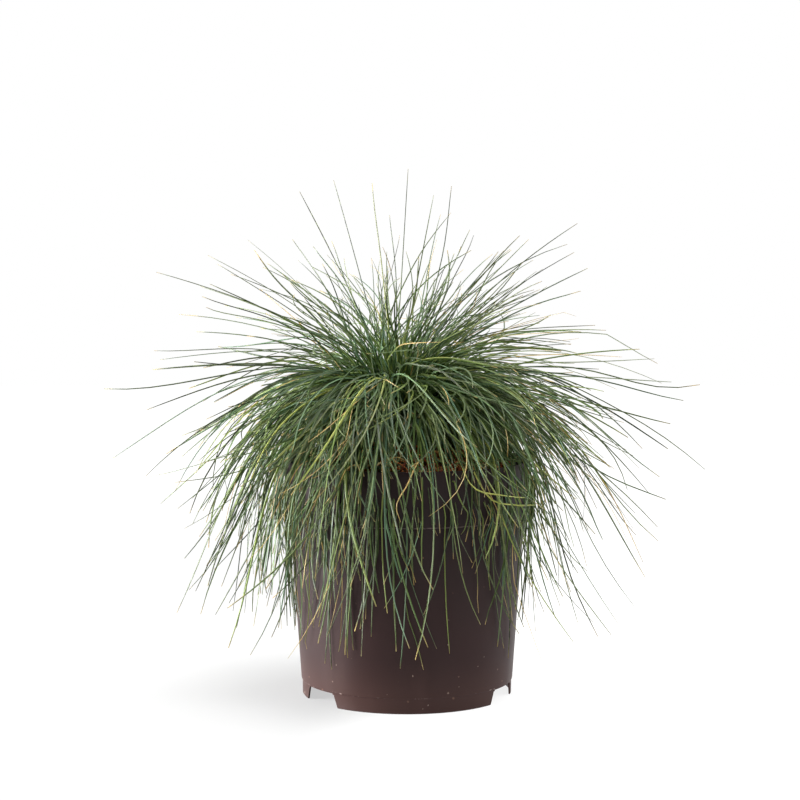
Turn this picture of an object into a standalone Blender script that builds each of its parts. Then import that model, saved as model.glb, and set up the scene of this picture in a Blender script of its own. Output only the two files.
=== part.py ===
"""Potted blue fescue clump: a nursery container, its root ball, leaf litter, the crown and its leaf tufts.

Metres, +Z up. The origin is on the pot's axis, at the level of the surface that the pot stands on.
The front is -Y.
"""

import math
import random

import bmesh
import bpy
from mathutils import Vector

# Pot
POT_HEIGHT = 0.185
RIM_RADIUS = 0.0958
BAND_BOTTOM_RADIUS = 0.0945
BAND_BOTTOM_Z = 0.1425
BAND_STEP = 0.0016
BASE_RADIUS = 0.0836
FOOT_RADIUS = 0.0830
WALL = 0.0016
LIP_ROUND = 0.0004
PLATE_UNDERSIDE_Z = 0.0118
PLATE_TOP_Z = 0.0136
ROUND_STEPS = 60

# Foot ring: equal feet with slanted ends, and a notch between each two
FEET = 3
FIRST_FOOT_ANGLE = math.radians(5.5)
NOTCH_HEIGHT = 0.0110
NOTCH_TOP_ARC = math.radians(23)
NOTCH_BOTTOM_ARC = math.radians(30)
NOTCH_DEPTH = 0.024

# Drain holes in the bottom plate
CENTRE_HOLE_RADIUS = 0.008
DRAIN_HOLES = 6
DRAIN_HOLE_RADIUS = 0.005
DRAIN_CIRCLE_RADIUS = 0.056

# Root ball and litter
GAP = 0.0004
SOIL_CENTRE_Z = 0.1780
SOIL_EDGE_Z = 0.1750
SOIL_FLAT_RADIUS = 0.0520
LITTER_INNER_RADIUS = 0.0415
LITTER_OUTER_RADIUS = 0.0830
LITTER_INNER_TOP_Z = 0.1900
LITTER_OUTER_TOP_Z = 0.1790

# Crown: a dome around the centre that every tuft fans out of, on a slightly wider foot
FAN_CENTRE_Z = 0.232
CROWN_RADIUS = 0.0340
CROWN_FOOT_RADIUS = 0.0405
CROWN_FOOT_TOP_Z = 0.1930
CROWN_STEPS = 24
CROWN_ARC_POINTS = 5

# Tufts: each sinks below its launch elevation as it leaves the crown, a low one sooner and further
FULL_DROP = math.radians(77)
LOW_LAUNCH_POWER = 1.7
DROP_DISTANCE = 0.090
DROP_POWER = 1.6
TUFT_BASE_RADIUS = 0.0021
TUFT_TIP_RADIUS = 0.0010
TUFT_BULGE = 0.0080
TUFT_BULGE_POWER = 1.8
TUFT_POINTS = 9
TUFT_BEVEL_RESOLUTION = 1
SIDEWAYS_BEND = math.radians(6)
AZIMUTH_JITTER = math.radians(3)
LENGTH_JITTER = 0.07

# Each ring of tufts: name, launch elevation in degrees, reach from the fan's centre, number of tufts
TUFT_RINGS = (
    ("crest_tuft", 90, 0.180, 1),
    ("upright_tuft", 70, 0.184, 4),
    ("upper_tuft", 55, 0.204, 7),
    ("shoulder_tuft", 43, 0.220, 10),
    ("side_tuft", 32, 0.2290, 12),
    ("drooping_tuft", 22, 0.248, 10),
    ("hanging_tuft", 12, 0.240, 8),
)
FULL_LENGTH_RING = "side_tuft"
SEED = 11

COLOURS = {
    "pot_plastic": ((0.030, 0.022, 0.021, 1.0), 0.48),
    "substrate": ((0.060, 0.035, 0.022, 1.0), 0.95),
    "dry_litter": ((0.210, 0.100, 0.045, 1.0), 0.90),
    "crown_sheath": ((0.260, 0.230, 0.110, 1.0), 0.75),
    "leaf_blade": ((0.085, 0.160, 0.060, 1.0), 0.55),
}


def clear_scene():
    for obj in list(bpy.data.objects):
        bpy.data.objects.remove(obj, do_unlink=True)


def new_collection(name):
    collection = bpy.data.collections.new(name)
    bpy.context.scene.collection.children.link(collection)
    return collection


def new_material(name):
    colour, roughness = COLOURS[name]
    material = bpy.data.materials.new(name)
    material.use_nodes = True
    shader = material.node_tree.nodes["Principled BSDF"]
    shader.inputs["Base Color"].default_value = colour
    shader.inputs["Roughness"].default_value = roughness
    shader.inputs["Metallic"].default_value = 0.0
    material.diffuse_color = colour
    return material


def turned(name, profile, steps, collection, material):
    """A solid of revolution: the profile's (radius, z) points run down its outer side."""
    mesh = bpy.data.meshes.new(name)
    points = [(radius, 0.0, z) for radius, z in profile]
    edges = [(i, i + 1) for i in range(len(points) - 1)]
    mesh.from_pydata(points, edges, [])
    mesh.materials.append(material)
    obj = bpy.data.objects.new(name, mesh)
    collection.objects.link(obj)
    screw = obj.modifiers.new("turn", "SCREW")
    screw.axis = "Z"
    screw.angle = math.tau
    screw.steps = steps
    screw.render_steps = steps
    screw.use_merge_vertices = True
    screw.merge_threshold = 0.00005
    screw.use_smooth_shade = True
    return obj


def wall_radius(z):
    """The outer radius of the pot's tapered body at height z, below the band."""
    top_radius = BAND_BOTTOM_RADIUS - BAND_STEP
    share = (z - PLATE_UNDERSIDE_Z) / (BAND_BOTTOM_Z - PLATE_UNDERSIDE_Z)
    return BASE_RADIUS + (top_radius - BASE_RADIUS) * share


def band_radius(z):
    share = (z - BAND_BOTTOM_Z) / (POT_HEIGHT - BAND_BOTTOM_Z)
    return BAND_BOTTOM_RADIUS + (RIM_RADIUS - BAND_BOTTOM_RADIUS) * share


def pot_profile():
    inner_step_z = BAND_BOTTOM_Z + WALL
    return [
        (0.0, PLATE_TOP_Z),
        (wall_radius(PLATE_TOP_Z) - WALL, PLATE_TOP_Z),
        (wall_radius(BAND_BOTTOM_Z) - WALL, inner_step_z),
        (band_radius(inner_step_z) - WALL, inner_step_z + BAND_STEP),
        (RIM_RADIUS - WALL, POT_HEIGHT - LIP_ROUND),
        (RIM_RADIUS - WALL + LIP_ROUND, POT_HEIGHT),
        (RIM_RADIUS - LIP_ROUND, POT_HEIGHT),
        (RIM_RADIUS, POT_HEIGHT - LIP_ROUND),
        (BAND_BOTTOM_RADIUS, BAND_BOTTOM_Z),
        (wall_radius(BAND_BOTTOM_Z), BAND_BOTTOM_Z - LIP_ROUND),
        (BASE_RADIUS, PLATE_UNDERSIDE_Z),
        (FOOT_RADIUS, PLATE_UNDERSIDE_Z - LIP_ROUND),
        (FOOT_RADIUS, 0.0),
        (FOOT_RADIUS - WALL, 0.0),
        (FOOT_RADIUS - WALL, PLATE_UNDERSIDE_Z),
        (0.0, PLATE_UNDERSIDE_Z),
    ]


def helper(obj, collection):
    collection.objects.link(obj)
    obj.hide_render = True
    obj.display_type = "WIRE"


def notch_cutters(collection):
    """One wedge-sided block for each notch, wider at the floor than at its top."""
    low, high = -0.002, NOTCH_HEIGHT
    mesh = bpy.data.meshes.new("notch_cutter")
    block = bmesh.new()
    bmesh.ops.create_cube(block, size=1.0)
    floor_half = FOOT_RADIUS * math.sin(NOTCH_BOTTOM_ARC / 2)
    top_half = FOOT_RADIUS * math.sin(NOTCH_TOP_ARC / 2)
    for vert in block.verts:
        half = top_half if vert.co.z > 0 else floor_half
        vert.co.x *= NOTCH_DEPTH
        vert.co.y *= 2 * half
        vert.co.z = high if vert.co.z > 0 else low
    block.to_mesh(mesh)
    block.free()
    for i in range(FEET):
        angle = -math.pi / 2 + FIRST_FOOT_ANGLE + (i + 0.5) * math.tau / FEET
        cutter = bpy.data.objects.new(f"notch_cutter_{i + 1}", mesh)
        cutter.location = (FOOT_RADIUS * math.cos(angle), FOOT_RADIUS * math.sin(angle), 0.0)
        cutter.rotation_euler.z = angle
        helper(cutter, collection)


def drain_cutters(collection):
    middle_z = (PLATE_UNDERSIDE_Z + PLATE_TOP_Z) / 2
    holes = [(Vector((0.0, 0.0, middle_z)), CENTRE_HOLE_RADIUS)]
    for i in range(DRAIN_HOLES):
        angle = (i + 0.5) * math.tau / DRAIN_HOLES
        place = Vector((math.cos(angle), math.sin(angle), 0.0)) * DRAIN_CIRCLE_RADIUS
        holes.append((place + Vector((0.0, 0.0, middle_z)), DRAIN_HOLE_RADIUS))
    for i, (place, radius) in enumerate(holes):
        mesh = bpy.data.meshes.new(f"drain_cutter_{i + 1}")
        drill = bmesh.new()
        bmesh.ops.create_cone(
            drill, cap_ends=True, segments=12, radius1=radius, radius2=radius, depth=0.006
        )
        drill.to_mesh(mesh)
        drill.free()
        cutter = bpy.data.objects.new(f"drain_cutter_{i + 1}", mesh)
        cutter.location = place
        helper(cutter, collection)


def build_pot(parts, cutters):
    pot = turned("pot", pot_profile(), ROUND_STEPS, parts, new_material("pot_plastic"))
    notch_cutters(cutters)
    drain_cutters(cutters)
    cut = pot.modifiers.new("notches_and_holes", "BOOLEAN")
    cut.operation = "DIFFERENCE"
    cut.operand_type = "COLLECTION"
    cut.collection = cutters
    cut.solver = "EXACT"


def build_root_ball(parts):
    """The substrate, a small gap inside the pot's wall, with its surface sloping gently to the wall."""
    bottom_z = PLATE_TOP_Z + GAP
    inside_step_z = BAND_BOTTOM_Z + WALL
    profile = [
        (0.0, SOIL_CENTRE_Z),
        (SOIL_FLAT_RADIUS, SOIL_CENTRE_Z),
        (LITTER_OUTER_RADIUS, SOIL_EDGE_Z),
        (band_radius(SOIL_EDGE_Z) - WALL - GAP, SOIL_EDGE_Z),
        (band_radius(inside_step_z) - WALL - GAP, inside_step_z + BAND_STEP + GAP),
        (wall_radius(BAND_BOTTOM_Z) - WALL - GAP, inside_step_z),
        (wall_radius(bottom_z) - WALL - GAP, bottom_z),
        (0.0, bottom_z),
    ]
    turned("root_ball", profile, ROUND_STEPS, parts, new_material("substrate"))


def build_leaf_litter(parts):
    """A low ring of shed sheaths on the root ball, highest against the crown."""
    middle_radius = (LITTER_INNER_RADIUS + LITTER_OUTER_RADIUS) / 2
    middle_top_z = (LITTER_INNER_TOP_Z + LITTER_OUTER_TOP_Z) / 2 + 0.001
    profile = [
        (LITTER_INNER_RADIUS, SOIL_CENTRE_Z + GAP),
        (LITTER_INNER_RADIUS, LITTER_INNER_TOP_Z),
        (middle_radius, middle_top_z),
        (LITTER_OUTER_RADIUS, LITTER_OUTER_TOP_Z),
        (LITTER_OUTER_RADIUS, SOIL_EDGE_Z + GAP),
        (SOIL_FLAT_RADIUS, SOIL_CENTRE_Z + GAP),
        (LITTER_INNER_RADIUS, SOIL_CENTRE_Z + GAP),
    ]
    turned("leaf_litter", profile, ROUND_STEPS, parts, new_material("dry_litter"))


def build_crown(parts):
    """A dome of packed sheaths on a wider foot, cut flat where it sits on the root ball."""
    profile = []
    for i in range(CROWN_ARC_POINTS + 1):
        angle = math.pi / 2 * (1 - i / CROWN_ARC_POINTS)
        radius = 0.0 if i == 0 else CROWN_RADIUS * math.cos(angle)
        profile.append((radius, FAN_CENTRE_Z + CROWN_RADIUS * math.sin(angle)))
    profile.append((CROWN_FOOT_RADIUS, CROWN_FOOT_TOP_Z))
    profile.append((CROWN_FOOT_RADIUS, SOIL_CENTRE_Z + GAP))
    profile.append((0.0, SOIL_CENTRE_Z + GAP))
    turned("crown", profile, CROWN_STEPS, parts, new_material("crown_sheath"))


def drop(launch, distance):
    """How far a tuft has sunk below its launch elevation, at this distance from the crown."""
    full = FULL_DROP * max(math.cos(launch), 0.0) ** LOW_LAUNCH_POWER
    stiffness = DROP_DISTANCE * (1 + math.sin(launch))
    return full * (1 - math.exp(-((distance / stiffness) ** DROP_POWER)))


def tuft_point(launch, azimuth, bend, start, reach, share):
    """The point at this share of the way from the crown to the tip."""
    radius = start + (reach - start) * share
    elevation = launch - drop(launch, radius - start)
    heading = azimuth + bend * share * share
    across = radius * math.cos(elevation)
    height = radius * math.sin(elevation)
    return Vector((across * math.cos(heading), across * math.sin(heading), FAN_CENTRE_Z + height))


def tuft_radius(share):
    taper = TUFT_BASE_RADIUS + (TUFT_TIP_RADIUS - TUFT_BASE_RADIUS) * share
    return taper + TUFT_BULGE * math.sin(math.pi * share) ** TUFT_BULGE_POWER


def build_tuft(name, launch, azimuth, bend, reach, parts, material):
    """A tapering tube with closed ends, along the tuft's arching path."""
    start = CROWN_RADIUS + 2 * GAP
    data = bpy.data.curves.new(name, "CURVE")
    data.dimensions = "3D"
    data.bevel_depth = 1.0
    data.bevel_resolution = TUFT_BEVEL_RESOLUTION
    data.use_fill_caps = True
    data.twist_mode = "MINIMUM"
    data.materials.append(material)
    spline = data.splines.new("POLY")
    spline.points.add(TUFT_POINTS - 1)
    for i, point in enumerate(spline.points):
        share = i / (TUFT_POINTS - 1)
        place = tuft_point(launch, azimuth, bend, start, reach, share)
        point.co = (*place, 1.0)
        point.radius = tuft_radius(share)
    parts.objects.link(bpy.data.objects.new(name, data))


def build_tufts(parts):
    material = new_material("leaf_blade")
    chance = random.Random(SEED)
    for ring, (name, elevation, reach, count) in enumerate(TUFT_RINGS):
        launch = math.radians(elevation)
        offset = 0.0 if name == FULL_LENGTH_RING else ring * math.radians(137.5)
        for i in range(count):
            azimuth = offset + math.tau * i / count + chance.uniform(-1, 1) * AZIMUTH_JITTER
            bend = chance.uniform(-1, 1) * SIDEWAYS_BEND
            length = reach * (1 + chance.uniform(-1, 0) * LENGTH_JITTER)
            if name == FULL_LENGTH_RING or count == 1:
                bend = 0.0
                length = reach
            build_tuft(f"{name}_{i + 1:02d}", launch, azimuth, bend, length, parts, material)


def main():
    clear_scene()
    parts = new_collection("potted_blue_fescue")
    cutters = new_collection("cutters")
    cutters.hide_render = True
    build_pot(parts, cutters)
    build_root_ball(parts)
    build_leaf_litter(parts)
    build_crown(parts)
    build_tufts(parts)


main()
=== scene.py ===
import math

import bmesh
import bpy
import numpy as np
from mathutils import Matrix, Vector


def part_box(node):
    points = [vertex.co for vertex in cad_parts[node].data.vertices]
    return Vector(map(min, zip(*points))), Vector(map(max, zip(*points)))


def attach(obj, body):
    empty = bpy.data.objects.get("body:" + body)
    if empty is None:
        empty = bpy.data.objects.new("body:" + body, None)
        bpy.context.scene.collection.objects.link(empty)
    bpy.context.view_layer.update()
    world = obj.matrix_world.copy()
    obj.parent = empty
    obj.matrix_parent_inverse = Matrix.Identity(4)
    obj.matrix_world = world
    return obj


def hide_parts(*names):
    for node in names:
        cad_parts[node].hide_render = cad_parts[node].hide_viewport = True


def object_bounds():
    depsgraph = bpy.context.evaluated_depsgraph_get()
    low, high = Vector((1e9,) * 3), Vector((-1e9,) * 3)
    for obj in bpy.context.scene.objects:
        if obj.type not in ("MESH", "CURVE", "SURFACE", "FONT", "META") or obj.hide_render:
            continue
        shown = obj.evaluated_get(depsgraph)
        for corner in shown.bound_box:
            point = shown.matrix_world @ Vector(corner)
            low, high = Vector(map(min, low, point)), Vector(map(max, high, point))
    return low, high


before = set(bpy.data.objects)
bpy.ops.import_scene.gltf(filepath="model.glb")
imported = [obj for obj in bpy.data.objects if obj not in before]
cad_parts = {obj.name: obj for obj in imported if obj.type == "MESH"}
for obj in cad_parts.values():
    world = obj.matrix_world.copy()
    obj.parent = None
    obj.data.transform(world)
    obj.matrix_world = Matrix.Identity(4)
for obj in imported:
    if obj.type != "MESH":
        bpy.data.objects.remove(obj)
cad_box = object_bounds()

SEED = 20
ROOT = "root"

# Places from the frame
POT_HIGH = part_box("pot")[1]
CROWN_LOW, CROWN_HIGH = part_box("crown")
LITTER_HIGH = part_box("leaf_litter")[1]
SOIL_Z = CROWN_LOW.z
RIM_Z = POT_HIGH.z
RIM_RADIUS = POT_HIGH.x
CROWN_RADIUS = 0.034
FAN_CENTRE = np.array([0.0, 0.0, CROWN_HIGH.z - CROWN_RADIUS])

# How far blades may reach sideways and upwards
WIDEST = cad_box[1][0] + 0.014
HIGHEST = cad_box[1][2] + 0.006

# Pot section, foot ring and drain holes, matching the CAD model
BAND_BOTTOM_RADIUS = RIM_RADIUS - 0.0013
BAND_BOTTOM_Z = 0.1425
BAND_STEP = 0.0016
BASE_RADIUS = 0.0836
FOOT_RADIUS = 0.0830
WALL = 0.0016
PLATE_UNDERSIDE_Z = 0.0118
PLATE_TOP_Z = 0.0136
FEET = 3
FIRST_FOOT_ANGLE = math.radians(5.5)
NOTCH_HEIGHT = 0.0110
NOTCH_DEPTH = 0.024
NOTCH_TOP_ARC = math.radians(23)
NOTCH_BOTTOM_ARC = math.radians(30)
CENTRE_HOLE_RADIUS = 0.008
DRAIN_HOLES = 6
DRAIN_HOLE_RADIUS = 0.005
DRAIN_CIRCLE_RADIUS = 0.056

# How a blade arches, much as its tuft's solid does: its full drop, how fast that shrinks for steep
# blades, the distance it takes, and how suddenly it sets in. None points down more than the steepest.
FULL_DROP = math.radians(77)
LOW_LAUNCH_POWER = 1.7
DROP_DISTANCE = 0.090
DROP_POWER = 1.4
STEEPEST = math.radians(-80)

# The height that no hanging tip goes below, and how much of the blade's clearance it stands above it
LOWEST_TIP = 0.030
LOW_TIPS_APART = 8
MOST_CLEARANCE = 0.004

# Where blades lie over the soil and the rim, and how far they stay off the pot
CROWN_EDGE = 0.045
SOIL_SLOPE = 0.040
OVER_SOIL = 0.010
OFF_POT = 0.0015

# Blades in each kind of tuft: how many, how far they stray from the tuft's path and how far they
# rise above it in degrees, how much of them the thin front side lacks and the right side has over
# the left, their usual length as a share of the tuft's, how many are much shorter, how much of its
# arch they follow, and how wide they are beside the widest
TUFT_KINDS = {
    "crest_tuft": dict(
        blades=12, tilt=12.0, turn=12.0, rise=0.0, thin=0.0, right=0.3,
        usual=0.64, short=0.34, limp=0.4, wide=0.76,
    ),
    "upright_tuft": dict(
        blades=11, tilt=11.0, turn=17.0, rise=0.0, thin=0.1, right=0.3,
        usual=0.64, short=0.34, limp=0.4, wide=0.76,
    ),
    "upper_tuft": dict(
        blades=15, tilt=11.0, turn=17.0, rise=0.0, thin=0.3, right=0.35,
        usual=0.68, short=0.18, limp=0.5, wide=0.8,
    ),
    "shoulder_tuft": dict(
        blades=13, tilt=10.0, turn=16.0, rise=6.0, thin=0.3, right=0.35,
        usual=0.67, short=0.10, limp=0.6, wide=0.82,
    ),
    "side_tuft": dict(
        blades=10, tilt=9.0, turn=15.0, rise=4.0, thin=0.4, right=0.45,
        usual=0.60, short=0.24, limp=0.75, wide=0.9,
    ),
    "drooping_tuft": dict(
        blades=41, tilt=7.0, turn=15.0, rise=0.0, thin=0.52, right=0.45,
        usual=0.65, short=0.36, limp=0.86, wide=1.0,
    ),
    "hanging_tuft": dict(
        blades=102, tilt=8.0, turn=18.0, rise=0.0, thin=0.6, right=-0.25,
        usual=0.74, short=0.34, limp=0.92, wide=1.0,
    ),
}

# Blades that stand clear of the rest: heading and launch in degrees, reach, and share of the arch
LONG_BLADES = (
    (4, 88.7, 0.181, 0.2), (176, 74, 0.181, 0.3), (190, 82, 0.171, 0.2), (172, 66, 0.183, 0.3),
    (8, 81.7, 0.163, 0.2), (-6, 70, 0.143, 0.3), (5, 56, 0.161, 0.3), (174, 46.7, 0.193, 0.4),
    (186, 42.5, 0.216, 0.45), (190, 24, 0.200, 0.5), (178, 27, 0.237, 0.72), (3, 27, 0.216, 0.75),
    (-7, 28, 0.175, 0.4), (4, 19, 0.238, 0.9), (-10, 21, 0.207, 0.9), (20, 42, 0.190, 0.3),
    (-156, 6.5, 0.251, 0.85), (-158, 5, 0.220, 0.87), (-173, 14, 0.243, 0.85), (-119, 6, 0.235, 0.95),
    (-111, 6, 0.223, 0.95), (-103, 6.5, 0.190, 0.95), (-94, 6.5, 0.178, 0.95), (-61, 8, 0.160, 0.95),
    (-45, 6.5, 0.196, 0.95), (183, 38, 0.188, 0.5), (172, 35, 0.176, 0.5), (188, 32, 0.192, 0.55),
    (176, 41, 0.184, 0.4), (166, 52, 0.178, 0.35),
)

# Single blades and dead threads that lie across the rest, by the places they pass through
CROSSING_BLADES = (
    (
        (0.020, -0.024, 0.208), (0.036, -0.068, 0.197), (0.048, -0.104, 0.175),
        (0.070, -0.098, 0.168), (0.092, -0.074, 0.163),
    ),
    (
        (0.026, -0.020, 0.208), (0.044, -0.066, 0.194), (0.060, -0.100, 0.167),
        (0.080, -0.090, 0.160), (0.097, -0.068, 0.157),
    ),
)
DEAD_THREADS = (
    (
        (0.014, -0.066, 0.186), (0.008, -0.098, 0.193), (0.000, -0.114, 0.178),
        (-0.008, -0.115, 0.163), (-0.005, -0.113, 0.150),
    ),
    (
        (-0.022, -0.066, 0.186), (-0.042, -0.100, 0.190), (-0.052, -0.103, 0.174),
        (-0.061, -0.101, 0.162),
    ),
    (
        (-0.027, -0.084, 0.186), (-0.018, -0.096, 0.193), (-0.008, -0.095, 0.196),
        (0.001, -0.084, 0.191),
    ),
    (
        (-0.058, -0.052, 0.190), (-0.078, -0.078, 0.190), (-0.090, -0.088, 0.172),
        (-0.101, -0.094, 0.150),
    ),
)

# The clump's uneven sides. Its front is thin and short, so that the pot shows, its flanks beside the
# front are full of low and short blades, and its right is a little longer than its left.
FRONT_HEADING = math.radians(-80)
FRONT_SPREAD = math.radians(24)
FLANK_HEADINGS = (math.radians(-118), math.radians(-138), math.radians(-38))
FLANK_SPREAD = math.radians(18)
FLANK_EXTRA = 1.4
FLANK_SHORT_SHARE = 0.28
FLANK_LAUNCH = math.radians(17)
FRONT_SHORTER = 0.14
LONG_SIDE_HEADING = math.radians(12)
LONG_SIDE_EXTRA = 0.03

# Lengths as shares of the tuft's reach, and the least reach in metres. Low tufts have more and
# longer long blades than the rest.
LOW_LAUNCH = math.radians(25)
LEAST_REACH = 0.085
LENGTH_SCATTER = 0.12
SHORT_LENGTHS = (0.40, 0.66)
LONGEST_LOW, LONGEST_HIGH = 1.05, 0.90
LONG_SHARE_LOW, LONG_SHARE_HIGH = 0.08, 0.05
LONG_SPAN = 0.2

# Blades fan out in tillers that share a way, each with some way of its own, and a few stray
BLADES_PER_TILLER = 5
OWN_WAY = 0.5
STRAY_SHARE, STRAY_FACTOR = 0.08, 2.2
STIFF_SHARE = 0.12
KINKED_SHARE = 0.012
TIP_TURN = math.radians(12)
WAVE, NOD = 0.028, 0.020
FAN_LEAN = np.array([-0.008, -0.004, 0.0])
FAN_SCATTER = 0.010
FAN_START = 0.050
LONG_BLADE_LOOSENESS = 0.15
RISING_POINTS = 4
FANNING_POINTS = 12
BLADE_WIDTH = 0.00174
BLADE_DEPTH = 0.00100

# The blades' waxy bloom and where there is less of it, where painted shade darkens them, where there
# are dry ones, and the shares of blades that have a dry tip, are dry in such a place, are dead, or are
# lime
BLOOM = 0.28
LESS_BLOOM = 0.33
GREENER_HEADINGS = (math.radians(-146), math.radians(-5))
GREENER_SPREAD = math.radians(46)
SHADED_HEADING = math.radians(-130)
SHADED_SPREAD = math.radians(34)
BRIGHTEST_TONE, SHADED_DARKER = 0.88, 0.36
DRY_HEADINGS = (math.radians(-162), math.radians(-14))
DRY_SPREAD = math.radians(16)
DRY_TIP_SHARE = 0.06
DRY_PATCH_SHARE = 0.12
DEAD_SHARE = 0.014
LIME_SHARE = 0.06

# Crown, litter and soil: how many pieces, the radii where each starts or ends, and the litter's
# height over its solid and share of springy fibres
SHEATHS = 520
FIBRES = 1700
CRUMBS = 1500
SHEATH_LENGTHS = (0.028, 0.058)
CROWN_BULGE = 0.046
LITTER_INNER_RADIUS = 0.0415
SOIL_SLOPES_FROM, SOIL_SLOPES_TO = 0.052, 0.083
LITTER_LOFT = 0.007
SPRINGY_SHARE = 0.16

# Camera
LENS, SENSOR_WIDTH = 85.8, 36.0
CAMERA_PLACE = (-0.0055, -1.5, 0.337)
CAMERA_DIP = math.radians(4.01)

# Softboxes: name, place, target, width and height, power, and spread in degrees
SOFTBOXES = (
    ("key_softbox", (1.35, 0.05, 1.35), (0.0, 0.0, 0.2), (2.0, 2.0), 37, 180),
    ("left_softbox", (-1.25, 0.06, 0.24), (0.0, 0.0, 0.16), (1.1, 0.46), 18, 90),
    ("right_softbox", (1.3, 0.9, 0.6), (0.0, 0.0, 0.2), (0.4, 1.0), 8, 180),
    ("top_softbox", (0.0, -0.20, 2.0), (0.0, 0.0, 0.2), (0.8, 0.8), 48, 180),
)

# The world's light towards its bright side, and the floor's glow by distance and by side. Each is a
# ramp: where it starts and ends, and its levels there.
BRIGHT_SIDE = (-0.5, 0.85, 0.15)
WORLD_LIGHT = (-0.2, 0.6, 0.05, 0.50)
FLOOR_RADIUS = 4.0
FLOOR_GREY = 0.205
FLOOR_GLOW = (0.2, 1.8, 0.5, 0.98)
FLOOR_BRIGHT_SIDE = (1.0, -0.10, 0.0)
FLOOR_NEAR_GLOW = (-0.07, 0.02, 0.56, 0.84)


# -------- node materials


class Shader:
    """A material's node tree, built one node at a time."""

    def __init__(self, name):
        self.material = bpy.data.materials.new(name)
        self.material.use_nodes = True
        self.tree = self.material.node_tree
        self.principled = self.tree.nodes["Principled BSDF"]

    def node(self, kind, inputs=(), **settings):
        made = self.tree.nodes.new(kind)
        for key, value in settings.items():
            setattr(made, key, value)
        for key, value in dict(inputs).items():
            self.put(made.inputs[key], value)
        return made

    def put(self, socket, value):
        if isinstance(value, bpy.types.NodeSocket):
            self.tree.links.new(value, socket)
        else:
            socket.default_value = value

    def attribute(self, name):
        return self.node("ShaderNodeAttribute", attribute_name=name).outputs["Fac"]

    def place(self):
        return self.node("ShaderNodeTexCoord").outputs["Object"]

    def noise(self, scale, detail=3.0, vector=None):
        inputs = {"Scale": scale, "Detail": detail, "Vector": vector or self.place()}
        return self.node("ShaderNodeTexNoise", inputs).outputs["Fac"]

    def stretched(self, factors):
        inputs = {"Vector": self.place(), "Scale": factors}
        return self.node("ShaderNodeMapping", inputs).outputs["Vector"]

    def maths(self, operation, first, second=0.0, third=0.0):
        inputs = {0: first, 1: second, 2: third}
        return self.node("ShaderNodeMath", inputs, operation=operation).outputs[0]

    def spread(self, value, low, high, to_low=0.0, to_high=1.0):
        inputs = {
            "Value": value, "From Min": low, "From Max": high, "To Min": to_low, "To Max": to_high,
        }
        made = self.node("ShaderNodeMapRange", inputs, interpolation_type="SMOOTHSTEP")
        return made.outputs["Result"]

    def ramp(self, value, stops):
        made = self.node("ShaderNodeValToRGB", {"Fac": value})
        elements = made.color_ramp.elements
        while len(elements) < len(stops):
            elements.new(0.5)
        for element, (position, colour) in zip(elements, stops):
            element.position = position
            element.color = (*colour, 1.0)
        return made.outputs["Color"]

    def mix(self, share, first, second):
        made = self.node("ShaderNodeMix", data_type="RGBA")
        for key, value in ((0, share), (6, first), (7, second)):
            if isinstance(value, tuple):
                value = (*value, 1.0)
            self.put(made.inputs[key], value)
        return made.outputs[2]

    def bump(self, height, strength, distance):
        inputs = {"Height": height, "Strength": strength, "Distance": distance}
        made = self.node("ShaderNodeBump", inputs)
        self.put(self.principled.inputs["Normal"], made.outputs["Normal"])

    def finish(self, **sockets):
        for key, value in sockets.items():
            self.put(self.principled.inputs[key.replace("_", " ")], value)
        return self.material


def leaf_material():
    """Waxy folded leaf: the blade's tone picks its green, and it dries to tan from its tip down."""
    s = Shader("fescue_leaf")
    tone, along, dry = s.attribute("tone"), s.attribute("along"), s.attribute("dry")
    mottle = s.noise(90.0, 2.0)
    shade = s.maths("MULTIPLY_ADD", s.maths("SUBTRACT", mottle, 0.5), 0.45, tone)
    living = s.ramp(shade, (
        (0.00, (0.016, 0.030, 0.005)),
        (0.25, (0.052, 0.094, 0.012)),
        (0.50, (0.120, 0.190, 0.030)),
        (0.75, (0.270, 0.370, 0.080)),
        (1.00, (0.420, 0.430, 0.095)),
    ))
    living = s.mix(s.attribute("bloom"), living, (0.150, 0.290, 0.190))
    flecks = s.spread(s.noise(380.0, 2.0), 0.44, 0.60)
    # Steeper blades turn a darker grey towards their tips, with paler flecks there.
    darker_tip = s.maths("MULTIPLY", s.attribute("darker_tip"), s.spread(along, 0.25, 0.75))
    living = s.mix(s.maths("MULTIPLY", darker_tip, 0.8), living, (0.046, 0.044, 0.040))
    darker_tip_flecks = s.maths("MULTIPLY", s.maths("MULTIPLY", darker_tip, flecks), 0.7)
    living = s.mix(darker_tip_flecks, living, (0.200, 0.240, 0.100))
    base = s.spread(along, 0.02, 0.26, 1.0, 0.0)
    living = s.mix(s.maths("MULTIPLY", base, 0.35), living, (0.150, 0.160, 0.045))
    straw = s.ramp(s.noise(35.0, 3.0), (
        (0.25, (0.270, 0.150, 0.050)),
        (0.50, (0.480, 0.340, 0.115)),
        (0.75, (0.620, 0.510, 0.260)),
    ))
    reach = s.maths("MULTIPLY_ADD", dry, 1.1, along)
    reach = s.maths("MULTIPLY_ADD", s.maths("SUBTRACT", mottle, 0.5), 0.10, reach)
    dried = s.spread(reach, 0.93, 1.01)
    margin = s.attribute("margin")
    # Partly the leaf's own ribs and partly painted shade and highlight: the groove and keel are darkened
    # and the edges left paler, as the dark and lit sides across the fold.
    living = s.mix(s.maths("MULTIPLY_ADD", margin, -0.6, 0.6), living, (0.026, 0.045, 0.012))
    colour = s.mix(dried, living, straw)
    ribs = s.maths("SINE", s.maths("MULTIPLY", margin, 4.0 * math.pi))
    s.bump(s.maths("MULTIPLY_ADD", mottle, 0.6, ribs), 0.35, 0.00008)
    rough = s.spread(mottle, 0.3, 0.7, 0.38, 0.54)
    return s.finish(Base_Color=colour, Roughness=rough, Specular_IOR_Level=0.28)


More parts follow.
